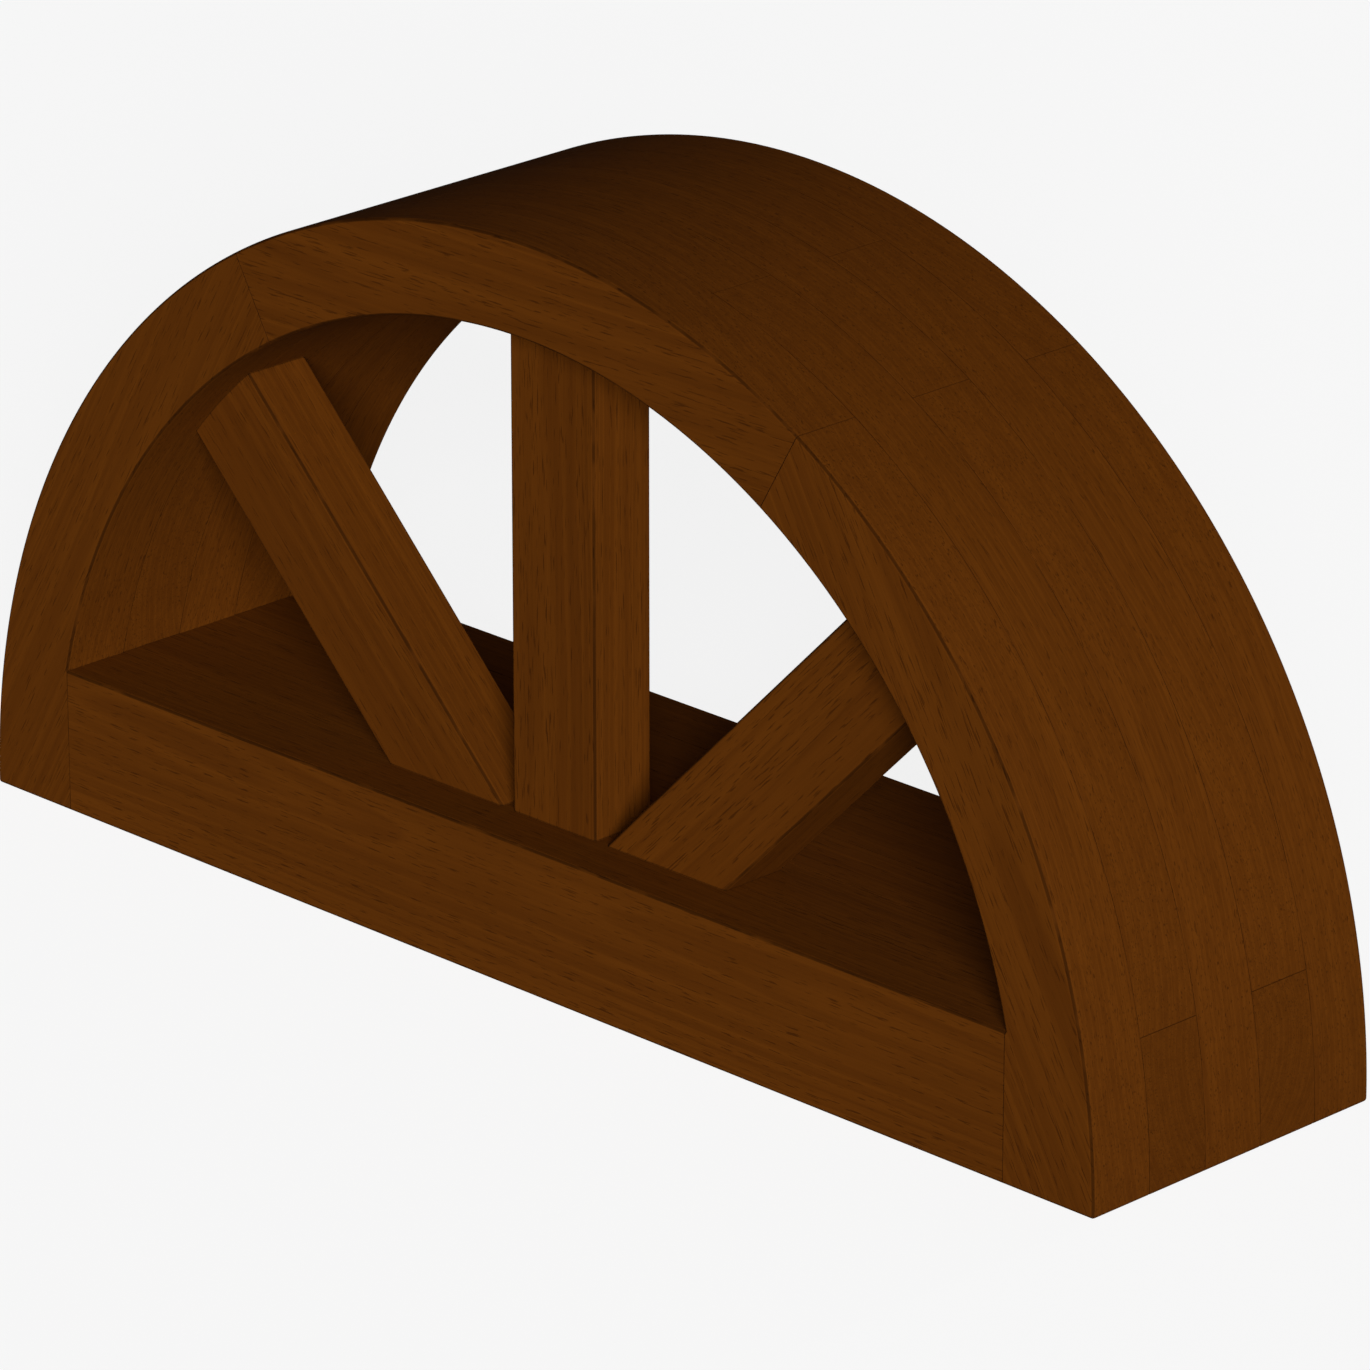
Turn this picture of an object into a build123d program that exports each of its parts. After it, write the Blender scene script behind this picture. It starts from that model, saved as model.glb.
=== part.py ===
from build123d import *
import math
import os

os.makedirs("parts", exist_ok=True)

# A fixed half-round window frame of solid timber. A semicircular arched head closes on a straight
# sill, and three bars spread like a fan from the middle of the underside, which is the centre of
# the arch. Head and sill are glued up from layers of plank that lie one behind the other. In every
# second layer the head runs down to the underside and the sill board fits between its feet. In the
# others the sill board runs right through and the head stands on it. So each joint is covered by
# whole wood in the next layer. The bars are tenoned into the head and into the sill.
#
# X is the width, Y the depth with the front face at its low end, and Z is up. The origin is the
# middle of the underside. Lengths are in millimetres and angles in degrees.

# The head and the sill
outer_radius = 400.0  # half the width, and the whole height
head_width = 50.0  # along a radius, from the inside of the arch to the outside
sill_height = 80.0
arris_radius = 2.0  # rounding on every edge that a hand can reach

# The layers of plank
plank_thickness = 40.0
plank_layers = 5
long_crown_spread = 60.0  # angle that the crown piece fills where the head runs to the underside
short_crown_spread = 30.0  # the same where the head stands on the sill board

# The bars
bar_angles = {"right_bar": 45.0, "centre_bar": 90.0, "left_bar": 135.0}
bar_width = 60.0
bar_thickness = 40.0
bar_setback = 30.0  # from the front face of the frame to the front face of the bars

# The tenons at both ends of each bar
tenon_thickness = 14.0
tenon_shoulder = 8.0  # from the edge of the bar to the edge of its tenon
tenon_length = 20.0
mortise_wall = 5.0  # wood left in the sill between the middle tenon and the ones beside it

# Sizes that follow
inner_radius = outer_radius - head_width
frame_depth = plank_thickness * plank_layers
front_y = -frame_depth / 2
bar_y = front_y + bar_setback + bar_thickness / 2
tenon_width = bar_width - 2 * tenon_shoulder
foot_x = math.sqrt(inner_radius**2 - sill_height**2)  # where the inside of the arch meets the sill
reach = 2 * outer_radius  # long enough to pass right through the frame


def block(low, high):
    """A rectangular block between two opposite corners."""
    size = [b - a for a, b in zip(low, high)]
    middle = [(a + b) / 2 for a, b in zip(low, high)]
    return Pos(*middle) * Box(*size)


def round_bar(radius, depth):
    """A cylinder of that radius along Y, through the centre of the arch."""
    return Rot(90, 0, 0) * Cylinder(radius, depth)


def frame_blank():
    """Head and sill in one, with the arrises rounded, before it is divided into planks."""
    above_ground = block((-reach, -reach, 0), (reach, reach, reach))
    above_sill = block((-reach, -reach, sill_height), (reach, reach, reach))
    opening = round_bar(inner_radius, reach) & above_sill
    blank = (round_bar(outer_radius, frame_depth) & above_ground) - opening
    faces = blank.faces().filter_by(Axis.Y)
    rims = faces.edges()
    ends = blank.edges().filter_by(Axis.Y).group_by(Axis.Z)[0]
    return fillet(rims + ends, arris_radius).solid()


def fan_wedge(first_angle, last_angle):
    """Everything between two radii of the arch, right through its depth."""
    angles = (first_angle, (first_angle + last_angle) / 2, last_angle)
    rays = [(reach * math.cos(math.radians(a)), reach * math.sin(math.radians(a))) for a in angles]
    outline = Plane.XZ * make_face(Polyline((0, 0), *rays, close=True))
    return extrude(outline, reach, both=True)


def bar_strip(angle, width, thickness, foot_level, head_radius):
    """A straight strip along a radius, from a level above the underside up to a circle."""
    strip = Pos(reach / 2, bar_y, 0) * Box(reach, thickness, width)
    strip = fillet(strip.edges().filter_by(Axis.X), min(arris_radius, thickness / 4))
    strip = Rot(0, -angle, 0) * strip
    strip &= block((-reach, -reach, foot_level), (reach, reach, reach))
    return (strip & round_bar(head_radius, reach)).solid()


def beside_middle(shape, angle, half_width):
    """Keeps a slanting strip on its own side of the upright one."""
    if angle < 90:
        return (shape & block((half_width, -reach, -reach), (reach, reach, reach))).solid()
    if angle > 90:
        return (shape & block((-reach, -reach, -reach), (-half_width, reach, reach))).solid()
    return shape


def bar_tenons(angle):
    """The two tenons of a bar, in one piece through the bar's own length."""
    strip = bar_strip(
        angle, tenon_width, tenon_thickness, sill_height - tenon_length, inner_radius + tenon_length
    )
    return beside_middle(strip, angle, tenon_width / 2 + mortise_wall)


def bar(angle):
    """A bar with its tenons, its ends cut to the sill and to the inside of the arch."""
    body = bar_strip(angle, bar_width, bar_thickness, sill_height, inner_radius)
    body = beside_middle(body, angle, bar_width / 2)
    return (body + bar_tenons(angle)).solid()


def layer_pieces(blank, number, mortises):
    """The sill board and the three head pieces of one layer, counted from the front."""
    layer_y = front_y + (number - 1) * plank_thickness
    layer = blank & block((-reach, layer_y, -reach), (reach, layer_y + plank_thickness, reach))
    long_head = number % 2 == 1
    sill_half_length = foot_x if long_head else reach
    crown_spread = long_crown_spread if long_head else short_crown_spread
    sill_room = block((-sill_half_length, -reach, -reach), (sill_half_length, reach, sill_height))
    head = layer - sill_room
    right_end = 90 - crown_spread / 2
    left_end = 90 + crown_spread / 2
    pieces = {
        "sill_board": layer & sill_room,
        "head_right": head & fan_wedge(0, right_end),
        "head_crown": head & fan_wedge(right_end, left_end),
        "head_left": head & fan_wedge(left_end, 180),
    }
    return {f"layer{number}_{name}": (piece - mortises).solid() for name, piece in pieces.items()}


def window():
    """Every piece of the window under its own name."""
    blank = frame_blank()
    mortises = [bar_tenons(angle) for angle in bar_angles.values()]
    nodes = {name: bar(angle) for name, angle in bar_angles.items()}
    for number in range(1, plank_layers + 1):
        nodes.update(layer_pieces(blank, number, mortises))
    return nodes


for node, solid in window().items():
    export_step(solid, f"parts/{node}.step")
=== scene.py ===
import math
import random
import bmesh
import bpy
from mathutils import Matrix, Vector


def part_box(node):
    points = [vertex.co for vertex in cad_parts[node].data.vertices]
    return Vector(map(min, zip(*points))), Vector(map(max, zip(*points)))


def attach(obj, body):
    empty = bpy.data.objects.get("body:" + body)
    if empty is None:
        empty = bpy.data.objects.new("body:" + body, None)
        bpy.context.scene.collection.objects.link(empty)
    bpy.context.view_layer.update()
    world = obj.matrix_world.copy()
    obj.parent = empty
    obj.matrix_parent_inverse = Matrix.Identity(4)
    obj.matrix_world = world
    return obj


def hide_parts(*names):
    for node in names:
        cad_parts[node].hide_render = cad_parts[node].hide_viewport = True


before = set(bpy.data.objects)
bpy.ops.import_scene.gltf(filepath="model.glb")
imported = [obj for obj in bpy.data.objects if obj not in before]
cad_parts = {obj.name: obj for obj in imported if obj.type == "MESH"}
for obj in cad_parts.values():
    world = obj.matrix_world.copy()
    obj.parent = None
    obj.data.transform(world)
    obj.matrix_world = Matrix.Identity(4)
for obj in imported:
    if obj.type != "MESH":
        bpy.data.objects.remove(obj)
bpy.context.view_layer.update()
print("frame loaded", len(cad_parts), "pieces")

# X is the width, Y runs from the front face to the back and Z is up. The arch's centre is the origin.
# Lengths are in metres. Angles are in degrees, from the right foot of the arch over its crown.

# Camera: a long lens from the right front, a little above
cameraSet = {
    "place": (2.8793, -2.8450, 1.6930),
    "ahead": (-0.661249, 0.658864, -0.358675),
    "lens": 223.49,
    "sensor": 36.0,
}
cameraData = bpy.data.cameras.new("camera")
cameraData.lens = cameraSet["lens"]
cameraData.sensor_width = cameraSet["sensor"]
cameraObject = bpy.data.objects.new("camera", cameraData)
cameraObject.location = cameraSet["place"]
cameraObject.rotation_euler = Vector(cameraSet["ahead"]).to_track_quat("-Z", "Y").to_euler()
bpy.context.collection.objects.link(cameraObject)
bpy.context.scene.camera = cameraObject
bpy.context.scene.view_settings.view_transform = "Standard"
print("camera set")

# The head segments and the sill boards are made again, with fine curves, eased arrises and hairline
# joints. They lie in layers of plank, one behind the other.
archSet = {
    "outer": 0.4,
    "inner": 0.35,
    "sill": 0.08,
    "front": -0.1,
    "plank": 0.04,
    "layers": 5,
    "longCrown": 60.0,  # angle of the crown segment in a layer whose head runs to the ground
    "shortCrown": 30.0,  # the same in a layer whose head stands on the sill board
}
archSet["footX"] = math.sqrt(archSet["inner"] ** 2 - archSet["sill"] ** 2)
archSet["footAngle"] = math.degrees(math.asin(archSet["sill"] / archSet["inner"]))

edgeSet = {
    "arcStep": 0.75,
    "boardSteps": 720,  # corners of the full circle that a long sill board is cut from
    "underSill": 10.0,  # where a segment's sweep ends before it is cut level
    "arris": 0.002,
    "arrisSteps": 5,
    "hair": 0.00022,  # the small bevel that shows as a joint
    "hairAngle": 40.0,
    "smoothAngle": 32.0,
    "faceWeight": 100,
}
tiny = 1e-5  # two places this close are the same


def useOnly(piece):
    bpy.ops.object.select_all(action="DESELECT")
    piece.select_set(True)
    bpy.context.view_layer.objects.active = piece


def newPiece(name):  # the primitive just added, with its place moved into its mesh
    piece = bpy.context.object
    piece.name = piece.data.name = name
    useOnly(piece)
    bpy.ops.object.transform_apply(location=True, rotation=True, scale=True)
    bpy.ops.object.mode_set(mode="EDIT")
    bpy.ops.mesh.select_all(action="SELECT")
    return piece


def pickCorners(piece, test):  # selects the corners whose places pass the test
    bpy.ops.mesh.select_mode(type="VERT")
    bpy.ops.mesh.select_all(action="DESELECT")
    shape = bmesh.from_edit_mesh(piece.data)
    for corner in shape.verts:
        corner.select_set(test(corner.co))
    bmesh.update_edit_mesh(piece.data)


def radiusOf(place):
    return math.hypot(place.x, place.z)


def sweep(angle):  # carries the selected end face round the arch
    steps = max(1, round(abs(angle) / edgeSet["arcStep"]))
    bpy.ops.mesh.spin(steps=steps, angle=math.radians(angle), center=(0, 0, 0), axis=(0, 1, 0))


def cutFlat(place, normal, keepBelow=False):  # cuts at a plane and closes what is kept
    bpy.ops.mesh.select_all(action="SELECT")
    bpy.ops.mesh.bisect(plane_co=place, plane_no=normal, use_fill=True,
                        clear_inner=not keepBelow, clear_outer=keepBelow)


def headSegment(name, layerFront, startAngle, foot):  # swept from its upper end down to its foot
    middle = (archSet["outer"] + archSet["inner"]) / 2
    start = math.radians(startAngle)
    place = (middle * math.cos(start), layerFront + archSet["plank"] / 2, middle * math.sin(start))
    bpy.ops.mesh.primitive_plane_add(size=1, location=place, rotation=(0, -start, 0))
    bpy.context.object.scale = (archSet["outer"] - archSet["inner"], archSet["plank"], 1)
    segment = newPiece(name)
    side = 1 if startAngle < 90 else -1
    if foot == "ground":  # its inner side is straight below the level of the sill
        toFoot = archSet["footAngle"] if side > 0 else 180 - archSet["footAngle"]
        sweep(toFoot - startAngle)
        sweep(-side * archSet["footAngle"])
        pickCorners(segment, lambda corner: corner.z < archSet["sill"] + tiny and radiusOf(corner) < middle)
        bpy.ops.transform.resize(value=(0, 1, 1), center_override=(side * archSet["footX"], 0, 0))
    elif foot == "board":  # it stands level on the sill board
        underSill = edgeSet["underSill"] if side > 0 else 180 - edgeSet["underSill"]
        sweep(underSill - startAngle)
        cutFlat((0, 0, archSet["sill"]), (0, 0, 1))
    else:  # the crown segment has no foot and ends as far on the other side
        sweep(180 - 2 * startAngle)
    return segment


def sillBoard(name, layerFront, longHead):
    depth = layerFront + archSet["plank"] / 2
    if longHead:  # it fits between the feet of the head
        bpy.ops.mesh.primitive_cube_add(size=1, location=(0, depth, archSet["sill"] / 2))
        bpy.context.object.scale = (2 * archSet["footX"], archSet["plank"], archSet["sill"])
        return newPiece(name)
    bpy.ops.mesh.primitive_cylinder_add(
        vertices=edgeSet["boardSteps"], radius=archSet["outer"], depth=archSet["plank"],
        location=(0, depth, 0), rotation=(math.pi / 2, 0, 0))
    board = newPiece(name)
    cutFlat((0, 0, 0), (0, 0, 1))
    cutFlat((0, 0, archSet["sill"]), (0, 0, 1), keepBelow=True)
    return board


def isArris(edge, outerFace, isBoard):  # an edge that a hand can reach
    ends = [corner.co for corner in edge.verts]
    radii = [radiusOf(place) for place in ends]
    onFloor = all(place.z < tiny for place in ends)
    if onFloor and all(abs(place.x) > archSet["outer"] - tiny for place in ends):
        return True
    if outerFace is None or any(abs(place.y - outerFace) > tiny for place in ends):
        return False
    onOutside = all(abs(radius - archSet["outer"]) < tiny for radius in radii)
    onInside = all(abs(radius - archSet["inner"]) < tiny for radius in radii)
    aboveSill = all(place.z > archSet["sill"] - tiny for place in ends)
    onSill = all(abs(place.z - archSet["sill"]) < tiny for place in ends)
    return onFloor or onOutside or (onInside and aboveSill) or (onSill and isBoard)


def easeEdges(piece, outerFace, isBoard):
    bpy.ops.mesh.select_all(action="SELECT")
    bpy.ops.mesh.remove_doubles(threshold=tiny)
    bpy.ops.mesh.normals_make_consistent(inside=False)
    bpy.ops.mesh.select_mode(type="EDGE")
    bpy.ops.mesh.select_all(action="DESELECT")
    shape = bmesh.from_edit_mesh(piece.data)
    reachable = [edge for edge in shape.edges if isArris(edge, outerFace, isBoard)]
    for edge in reachable:
        edge.select_set(True)
    bmesh.update_edit_mesh(piece.data)
    if reachable:
        bpy.ops.mesh.bevel(offset=edgeSet["arris"], segments=edgeSet["arrisSteps"], affect="EDGES")
    bpy.ops.object.mode_set(mode="OBJECT")
    hair = piece.modifiers.new("hair", "BEVEL")
    hair.width = edgeSet["hair"]
    hair.segments = 1
    hair.limit_method = "ANGLE"
    hair.angle_limit = math.radians(edgeSet["hairAngle"])
    bpy.ops.object.modifier_apply(modifier="hair")


# The bars are the CAD nodes. Their tenons need room in the second layer.
barSet = {
    "right_bar": {"angle": 45.0, "segment": "right"},
    "centre_bar": {"angle": 90.0, "segment": "crown"},
    "left_bar": {"angle": 135.0, "segment": "left"},
}
tenonSet = {
    "layer": 2,
    "depth": -0.05,
    "thick": 0.014,
    "wide": 0.044,
    "long": 0.020,
    "aside": 0.027,  # where the outer bars' tenons begin, from the middle of the window
    "inOpening": 0.01,  # how far a cutter reaches out of the head into the opening
    "sillReach": (0.03, 0.17),  # radii that a cutter spans, through the top of the sill
}


def cutMortise(piece, angle, fromRadius, toRadius):
    middle = (fromRadius + toRadius) / 2
    turn = math.radians(angle)
    place = (middle * math.cos(turn), tenonSet["depth"], middle * math.sin(turn))
    bpy.ops.mesh.primitive_cube_add(size=1, location=place, rotation=(0, -turn, 0))
    bpy.context.object.scale = (toRadius - fromRadius, tenonSet["thick"], tenonSet["wide"])
    cutter = newPiece("cutter")
    if fromRadius < archSet["sill"]:
        cutFlat((0, 0, archSet["sill"] - tenonSet["long"]), (0, 0, 1))
        if angle != 90:
            side = 1 if angle < 90 else -1
            cutFlat((side * tenonSet["aside"], 0, 0), (side, 0, 0))
    bpy.ops.object.mode_set(mode="OBJECT")
    useOnly(piece)
    cut = piece.modifiers.new("mortise", "BOOLEAN")
    cut.operation = "DIFFERENCE"
    cut.solver = "EXACT"
    cut.object = cutter
    bpy.ops.object.modifier_apply(modifier="mortise")
    bpy.data.objects.remove(cutter)


def finishPiece(piece, node):
    useOnly(piece)
    bpy.ops.object.shade_smooth_by_angle(angle=math.radians(edgeSet["smoothAngle"]))
    weights = piece.modifiers.new("faceWeights", "WEIGHTED_NORMAL")
    weights.keep_sharp = True
    weights.weight = edgeSet["faceWeight"]
    bpy.ops.object.modifier_apply(modifier="faceWeights")
    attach(piece, "root")
    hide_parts(node)


shown = {name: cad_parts[name] for name in barSet}
for layer in range(1, archSet["layers"] + 1):
    layerFront = archSet["front"] + (layer - 1) * archSet["plank"]
    longHead = layer % 2 == 1
    outerFace = {1: archSet["front"], archSet["layers"]: -archSet["front"]}.get(layer)
    rightEnd = 90 - archSet["longCrown" if longHead else "shortCrown"] / 2
    foot = "ground" if longHead else "board"
    parts = (("right", rightEnd, foot), ("crown", rightEnd, "none"), ("left", 180 - rightEnd, foot))
    for part, startAngle, partFoot in parts:
        segment = headSegment(f"segment{layer}_{part}", layerFront, startAngle, partFoot)
        easeEdges(segment, outerFace, False)
        shown[f"layer{layer}_head_{part}"] = segment
    board = sillBoard(f"board{layer}", layerFront, longHead)
    easeEdges(board, outerFace, True)
    shown[f"layer{layer}_sill_board"] = board

for bar in barSet.values():
    layerName = f"layer{tenonSet['layer']}"
    headFrom = archSet["inner"] - tenonSet["inOpening"]
    headTo = archSet["inner"] + tenonSet["long"]
    cutMortise(shown[f"{layerName}_head_{bar['segment']}"], bar["angle"], headFrom, headTo)
    cutMortise(shown[f"{layerName}_sill_board"], bar["angle"], *tenonSet["sillReach"])

for node, piece in shown.items():
    if node not in barSet:
        finishPiece(piece, node)
print("segments and boards made", len(shown))


def addNode(tree, kind, **settings):
    node = tree.nodes.new(kind)
    for name, value in settings.items():
        setattr(node, name, value)
    return node


def plug(tree, socket, value):  # a link from another socket, or a fixed value
    if isinstance(value, bpy.types.NodeSocket):
        tree.links.new(value, socket)
    else:
        socket.default_value = value


def plugAll(tree, node, values):
    for socket, value in zip(node.inputs, values):
        plug(tree, socket, value)


def calc(tree, operation, *values, clamp=False):
    node = addNode(tree, "ShaderNodeMath", operation=operation, use_clamp=clamp)
    plugAll(tree, node, values)
    return node.outputs[0]


def vectorCalc(tree, operation, output, *values):
    node = addNode(tree, "ShaderNodeVectorMath", operation=operation)
    plugAll(tree, node, values)
    return node.outputs[output]


def axesOf(tree, vector):
    node = addNode(tree, "ShaderNodeSeparateXYZ")
    plug(tree, node.inputs[0], vector)
    return node.outputs


def rise(tree, value, low, high, ends=(0.0, 1.0)):  # a smooth step from 0 up to 1
    node = addNode(tree, "ShaderNodeMapRange", interpolation_type="SMOOTHSTEP")
    plugAll(tree, node, (value, low, high, *ends))
    return node.outputs[0]


def fall(tree, value, low, high):  # a smooth step from 1 down to 0
    return rise(tree, value, low, high, (1.0, 0.0))


def waver(tree, value, amount, middle=1.0):  # turns 0 to 1 into a small change round a middle value
    return calc(tree, "MULTIPLY_ADD", value, amount, middle - amount / 2)


def mixed(tree, factor, first, second):
    node = addNode(tree, "ShaderNodeMix", data_type="RGBA")
    plug(tree, node.inputs["Factor"], factor)
    plug(tree, node.inputs["A"], first)
    plug(tree, node.inputs["B"], second)
    return node.outputs["Result"]


# Noises of the timber: waves in a metre along X, Y and Z, then detail and roughness
noiseSet = {
    "wander": ((2.2, 11.0, 11.0), 2.0, 0.5),
    "streak": ((3.0, 150.0, 150.0), 3.0, 0.6),
    "fibre": ((14.0, 700.0, 700.0), 3.0, 0.65),
    "pore": ((70.0, 1300.0, 1300.0), 1.0, 0.5),
    "cloud": ((6.0, 6.0, 6.0), 2.0, 0.5),
    "rubbed": ((42.0, 42.0, 42.0), 2.0, 0.5),
}


def noise(tree, place, name):
    waves, detail, roughness = noiseSet[name]
    stretched = addNode(tree, "ShaderNodeMapping")
    plug(tree, stretched.inputs["Vector"], place)
    stretched.inputs["Scale"].default_value = waves
    node = addNode(tree, "ShaderNodeTexNoise")
    plug(tree, node.inputs["Vector"], stretched.outputs[0])
    node.inputs["Scale"].default_value = 1.0
    node.inputs["Detail"].default_value = detail
    node.inputs["Roughness"].default_value = roughness
    return node.outputs["Fac"]


# Brown stained timber with a low sheen
timberSet = {
    "earlyWood": (0.1155, 0.0324, 0.0026, 1.0),
    "lateWood": (0.0805, 0.0213, 0.0017, 1.0),
    "pore": (0.034, 0.0086, 0.0008, 1.0),
    "ringPitch": 0.0038,
    "ringWander": 0.011,  # how far the rings bend out of round
    "ringUneven": 0.0045,  # how much their widths differ
    "unevenWaves": 90.0,
    "unevenDetail": 1.0,
    "ringRise": (0.05, 0.80),  # early wood turns to late wood over this part of a ring
    "ringFall": (0.84, 1.0),
    "streakShare": 1.1,  # streaks and rings add up to the share of late wood
    "ringShare": 0.42,
    "lateShift": -0.32,
    "poreEdge": (0.60, 0.68),  # where the noise turns into a pore
    "poreInLate": -0.05,  # late wood has fewer
    "poreShare": 0.65,
    "fibreLight": 0.40,
    "cloudLight": 0.12,
    "roughness": 0.78,
    "fibreRough": 0.12,
    "arrisRough": 0.10,
    "poreRough": 0.06,
    "gloss": 0.05,  # the shader's specular level
    "glossTint": (1.0, 0.72, 0.50, 1.0),
}

# Stain that gathers in end grain and joints, and painted shade: dark lines on the arrises and where the
# bars meet the frame
stainAndShadeSet = {
    # painted shade along the arrises
    "arrisShadeDark": 0.62,
    "arrisEdge": (0.02, 0.2),
    "rubbedEdge": (0.50, 0.68),
    "rubbedOff": 0.45,  # share of an arris's painted shade that is left off in places
    "endDark": 0.09,
    "endEdge": (0.3, 0.95),
    # dark joints in the frame, and painted contact shade at the bars' ends
    "jointAndContactDark": 0.45,
    "jointHalf": 0.0003,
    "sideEdge": (0.3, 0.6),  # the layers' joints stay off the front and back faces
}

# Heights for the bump, up from the surface
reliefSet = {"strength": 0.35, "distance": 0.0002, "fibre": 0.5, "pore": -0.8, "ring": 0.25, "joint": -1.0}


def growthRings(tree, grain):  # rings round the heart of the tree, of uneven width
    across = vectorCalc(tree, "MULTIPLY", "Vector", grain, (0, 1, 1))
    fromHeart = vectorCalc(tree, "LENGTH", "Value", across)
    reach = calc(tree, "MULTIPLY_ADD", noise(tree, grain, "wander"), timberSet["ringWander"], fromHeart)
    uneven = addNode(tree, "ShaderNodeTexNoise", noise_dimensions="1D")
    plug(tree, uneven.inputs["W"], calc(tree, "MULTIPLY", reach, timberSet["unevenWaves"]))
    uneven.inputs["Detail"].default_value = timberSet["unevenDetail"]
    reach = calc(tree, "MULTIPLY_ADD", uneven.outputs["Fac"], timberSet["ringUneven"], reach)
    phase = calc(tree, "FRACT", calc(tree, "DIVIDE", reach, timberSet["ringPitch"]))
    toLate = rise(tree, phase, *timberSet["ringRise"])
    return calc(tree, "MULTIPLY", toLate, fall(tree, phase, *timberSet["ringFall"]))


def arrisPaintedShade(tree, own, normalY):  # painted shade on faces that slant between front and side, drawing the eased edges as dark lines, paler in places
    square = calc(tree, "MULTIPLY", normalY, normalY)
    slanting = calc(tree, "MULTIPLY", square, calc(tree, "SUBTRACT", 1.0, square))
    rubbed = rise(tree, noise(tree, own, "rubbed"), *stainAndShadeSet["rubbedEdge"])
    left = calc(tree, "MULTIPLY_ADD", rubbed, -stainAndShadeSet["rubbedOff"], 1.0)
    return calc(tree, "MULTIPLY", rise(tree, slanting, *stainAndShadeSet["arrisEdge"]), left)


def endStain(tree, normal, angle):  # on faces that cut across the grain
    grainWay = (math.cos(angle), 0, math.sin(angle))
    across = calc(tree, "ABSOLUTE", vectorCalc(tree, "DOT_PRODUCT", "Value", normal, grainWay))
    return rise(tree, across, *stainAndShadeSet["endEdge"])


def jointStainAndContactShade(tree, own, normalY, plank):  # dark hairlines where one piece of the frame ends on another; on a bar, painted shade along its ends where it meets the head and the sill
    half = stainAndShadeSet["jointHalf"]

    def near(gap):
        return fall(tree, calc(tree, "ABSOLUTE", gap), half / 2, half)

    signedX, y, z = axesOf(tree, own)
    x = calc(tree, "ABSOLUTE", signedX)
    toSill = calc(tree, "SUBTRACT", z, archSet["sill"])
    # a bar gets painted contact shade where its ends meet the head and the sill
    if plank["kind"] == "bar":
        radiusSquared = calc(tree, "MULTIPLY_ADD", x, x, calc(tree, "MULTIPLY", z, z))
        toHead = calc(tree, "SUBTRACT", archSet["inner"], calc(tree, "SQRT", radiusSquared))
        return fall(tree, calc(tree, "MINIMUM", toHead, toSill), half, 3 * half)

    fromMiddle = calc(tree, "ABSOLUTE", calc(tree, "SUBTRACT", y, plank["depth"]))
    toNextLayer = calc(tree, "SUBTRACT", fromMiddle, plank["thick"] / 2)
    onSide = fall(tree, calc(tree, "ABSOLUTE", normalY), *stainAndShadeSet["sideEdge"])
    joint = calc(tree, "MULTIPLY", near(toNextLayer), onSide)
    if plank["kind"] == "head":
        slant = math.radians(90 - plank["crown"] / 2)
        fromZ = calc(tree, "MULTIPLY", z, -math.cos(slant))
        toNextSegment = calc(tree, "MULTIPLY_ADD", x, math.sin(slant), fromZ)
        joint = calc(tree, "MAXIMUM", joint, near(toNextSegment))
    toFoot = calc(tree, "SUBTRACT", x, archSet["footX"])
    if plank["longHead"]:
        foot = calc(tree, "MULTIPLY", near(toFoot), calc(tree, "LESS_THAN", toSill, 0.0))
    else:
        foot = calc(tree, "MULTIPLY", near(toSill), calc(tree, "GREATER_THAN", toFoot, 0.0))
    return calc(tree, "MAXIMUM", joint, foot)


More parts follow.
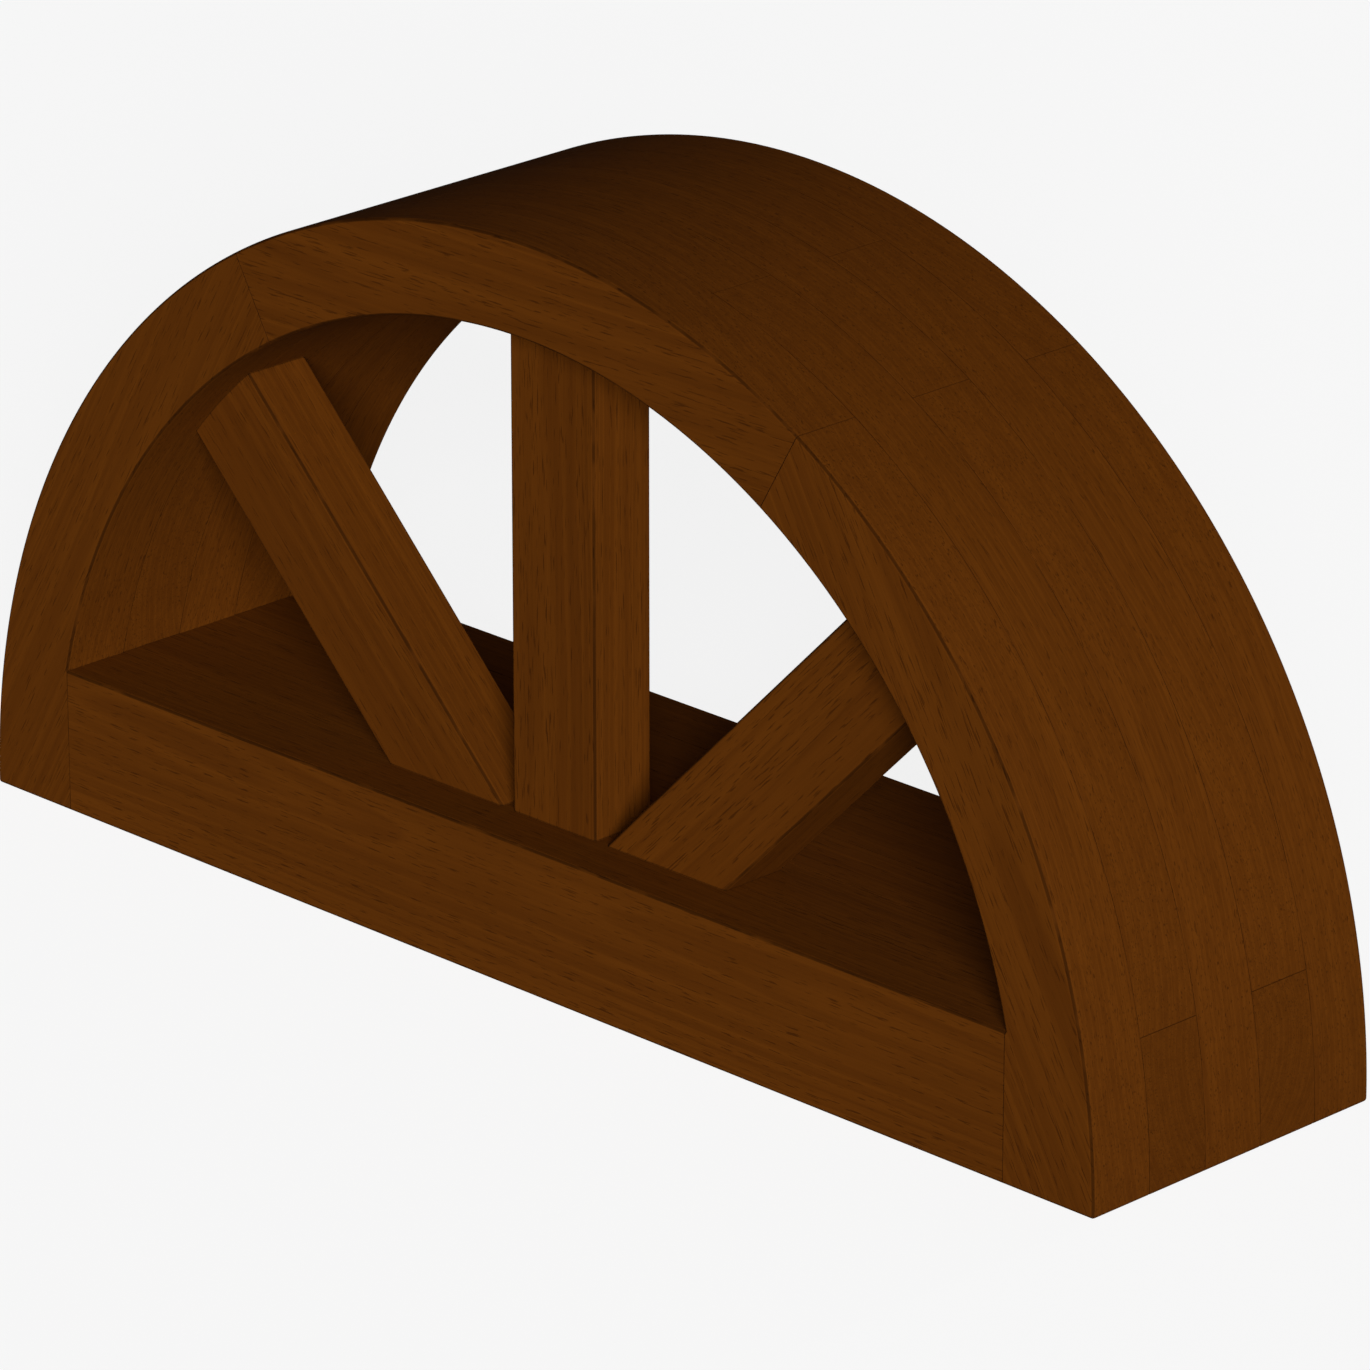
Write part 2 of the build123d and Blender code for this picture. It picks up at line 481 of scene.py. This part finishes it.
def makeTimber(name, plank):
    material = bpy.data.materials.new(name)
    material.use_nodes = True
    tree = material.node_tree
    shader = tree.nodes["Principled BSDF"]
    coordinates = addNode(tree, "ShaderNodeTexCoord")
    own = coordinates.outputs["Object"]
    normal = coordinates.outputs["Normal"]
    normalY = axesOf(tree, normal)["Y"]
    turned = addNode(tree, "ShaderNodeMapping")  # X along the grain, from the heart of the tree
    plug(tree, turned.inputs["Vector"], own)
    turned.inputs["Rotation"].default_value = (0, plank["angle"], 0)
    turned.inputs["Location"].default_value = plank["heart"]
    grain = turned.outputs[0]

    ring = growthRings(tree, grain)
    fibre = noise(tree, grain, "fibre")
    poreNoise = calc(tree, "MULTIPLY_ADD", ring, timberSet["poreInLate"], noise(tree, grain, "pore"))
    pore = rise(tree, poreNoise, *timberSet["poreEdge"])
    # painted shade along the arrises, also used to roughen them
    arris = arrisPaintedShade(tree, own, normalY)
    endGrain = endStain(tree, normal, plank["angle"])
    # dark joints in the frame; on a bar, painted contact shade at its ends
    joint = jointStainAndContactShade(tree, own, normalY, plank)

    late = calc(tree, "MULTIPLY_ADD", ring, timberSet["ringShare"], timberSet["lateShift"])
    streak = noise(tree, grain, "streak")
    late = calc(tree, "MULTIPLY_ADD", streak, timberSet["streakShare"], late, clamp=True)
    wood = mixed(tree, late, timberSet["earlyWood"], timberSet["lateWood"])
    pored = mixed(tree, calc(tree, "MULTIPLY", pore, timberSet["poreShare"]), wood, timberSet["pore"])
    tone = (1 - timberSet["cloudLight"] / 2) * plank["tone"]
    cloud = calc(tree, "MULTIPLY_ADD", noise(tree, own, "cloud"), timberSet["cloudLight"], tone)
    light = calc(tree, "MULTIPLY", waver(tree, fibre, timberSet["fibreLight"]), cloud)
    # darkening by the masks: painted shade on the arrises, real stain on end grain and joints, painted
    # contact shade at the bars' ends
    for mask, dark in ((arris, "arrisShadeDark"), (endGrain, "endDark"), (joint, "jointAndContactDark")):
        light = calc(tree, "MULTIPLY", light, calc(tree, "MULTIPLY_ADD", mask, -stainAndShadeSet[dark], 1.0))
    scaled = addNode(tree, "ShaderNodeVectorMath", operation="SCALE")
    plug(tree, scaled.inputs[0], pored)
    plug(tree, scaled.inputs["Scale"], light)
    plug(tree, shader.inputs["Base Color"], scaled.outputs[0])

    rough = waver(tree, fibre, timberSet["fibreRough"], timberSet["roughness"])
    rough = calc(tree, "MULTIPLY_ADD", arris, timberSet["arrisRough"], rough)
    rough = calc(tree, "MULTIPLY_ADD", pore, timberSet["poreRough"], rough)
    plug(tree, shader.inputs["Roughness"], rough)
    shader.inputs["Specular IOR Level"].default_value = timberSet["gloss"]
    shader.inputs["Specular Tint"].default_value = timberSet["glossTint"]

    height = calc(tree, "MULTIPLY", fibre, reliefSet["fibre"])
    for mask, part in ((pore, "pore"), (ring, "ring"), (joint, "joint")):
        height = calc(tree, "MULTIPLY_ADD", mask, reliefSet[part], height)
    bump = addNode(tree, "ShaderNodeBump")
    bump.inputs["Strength"].default_value = reliefSet["strength"]
    bump.inputs["Distance"].default_value = reliefSet["distance"]
    plug(tree, bump.inputs["Height"], height)
    plug(tree, shader.inputs["Normal"], bump.outputs[0])
    return material


# Each piece is cut from a plank of its own. Aside and away place the heart of its tree, and along
# shifts the pattern along the grain.
plankSet = {
    "seed": 7,
    "tone": (0.985, 1.025),
    "aside": (-0.03, 0.03),
    "away": (0.06, 0.11),
    "along": (-3.0, 3.0),
}


def plankOf(node):  # kind of piece, direction of its grain and middle of its width
    if node in barSet:
        return {"kind": "bar", "angle": math.radians(barSet[node]["angle"]), "middle": 0.0}
    longHead = int(node[len("layer")]) % 2 == 1
    if "sill" in node:
        return {"kind": "sill", "angle": 0.0, "middle": -archSet["sill"] / 2, "longHead": longHead}
    crown = archSet["longCrown" if longHead else "shortCrown"]
    footAngle = 0.0 if longHead else archSet["footAngle"]
    sideMiddle = (footAngle + 90 - crown / 2) / 2
    middles = {"right": sideMiddle, "crown": 90.0, "left": 180 - sideMiddle}
    angle = math.radians(middles[node.split("_")[-1]] + 90)
    middle = (archSet["outer"] + archSet["inner"]) / 2
    return {"kind": "head", "angle": angle, "middle": middle, "longHead": longHead, "crown": crown}


random.seed(plankSet["seed"])
for node in sorted(shown):
    low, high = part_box(node)
    plank = plankOf(node)
    plank["depth"] = (low[1] + high[1]) / 2
    plank["thick"] = high[1] - low[1]
    plank["tone"] = random.uniform(*plankSet["tone"])
    aside = random.uniform(*plankSet["aside"]) + plank["middle"]
    away = random.choice((-1, 1)) * random.uniform(*plankSet["away"])
    plank["heart"] = (random.uniform(*plankSet["along"]), away - plank["depth"], aside)
    shown[node].data.materials.clear()
    shown[node].data.materials.append(makeTimber(node + "_timber", plank))
print("timber on all pieces")

# Floor and backdrop: only the camera sees their pale glow, so they don't light the window
stageSet = {"half": 30.0, "paint": (0.18, 0.18, 0.18, 1.0), "glow": 0.857, "sky": 0.92, "ambient": 0.045}
bpy.ops.mesh.primitive_plane_add(size=2 * stageSet["half"], location=(0, 0, 0))
floor = bpy.context.object
floor.name = "floor"
floorPaint = bpy.data.materials.new("floorPaint")
floorPaint.use_nodes = True
tree = floorPaint.node_tree
tree.nodes.clear()
diffuse = addNode(tree, "ShaderNodeBsdfDiffuse")
diffuse.inputs["Color"].default_value = stageSet["paint"]
seen = addNode(tree, "ShaderNodeLightPath").outputs["Is Camera Ray"]
glow = addNode(tree, "ShaderNodeEmission")
plug(tree, glow.inputs["Strength"], calc(tree, "MULTIPLY", seen, stageSet["glow"]))
both = addNode(tree, "ShaderNodeAddShader")
plugAll(tree, both, (diffuse.outputs[0], glow.outputs[0]))
output = addNode(tree, "ShaderNodeOutputMaterial")
plug(tree, output.inputs["Surface"], both.outputs[0])
floor.data.materials.append(floorPaint)

world = bpy.data.worlds.new("studio")
bpy.context.scene.world = world
world.use_nodes = True
tree = world.node_tree
seen = addNode(tree, "ShaderNodeLightPath").outputs["Is Camera Ray"]
backdrop = tree.nodes["Background"]
backdrop.inputs["Color"].default_value = (1.0, 1.0, 1.0, 1.0)
skyGlow = calc(tree, "MULTIPLY_ADD", seen, stageSet["sky"] - stageSet["ambient"], stageSet["ambient"])
plug(tree, backdrop.inputs["Strength"], skyGlow)

# A soft key sun from the right front, and a low sun on the back. An azimuth is counted from the front,
# over the right.
sunSet = {
    "key": {"azimuth": 49.0, "elevation": 15.5, "strength": 3.86, "angle": 22.0, "inGloss": True},
    "back": {"azimuth": 180.0, "elevation": 1.5, "strength": 2.2, "angle": 3.0, "inGloss": False},
}
for name, one in sunSet.items():
    sunData = bpy.data.lights.new(name, "SUN")
    sunData.energy = one["strength"]
    sunData.angle = math.radians(one["angle"])
    sun = bpy.data.objects.new(name, sunData)
    azimuth = math.radians(one["azimuth"])
    elevation = math.radians(one["elevation"])
    level = math.cos(elevation)
    toLight = Vector((math.sin(azimuth) * level, -math.cos(azimuth) * level, math.sin(elevation)))
    sun.rotation_euler = toLight.to_track_quat("Z", "Y").to_euler()
    sun.visible_glossy = one["inGloss"]
    bpy.context.collection.objects.link(sun)

# A low card beside the left foot lifts the side that the key sun leaves dark
cardSet = {"place": (-0.85, 0.0, 0.004), "long": 0.6, "wide": 0.2, "power": 2.6}
cardData = bpy.data.lights.new("card", "AREA")
cardData.shape = "RECTANGLE"
cardData.size = cardSet["long"]
cardData.size_y = cardSet["wide"]
cardData.energy = cardSet["power"]
card = bpy.data.objects.new("card", cardData)
card.location = cardSet["place"]
card.rotation_euler = (math.pi, 0, 0)  # it shines upwards
card.visible_camera = False
card.visible_glossy = False
bpy.context.collection.objects.link(card)
print("floor and light set")
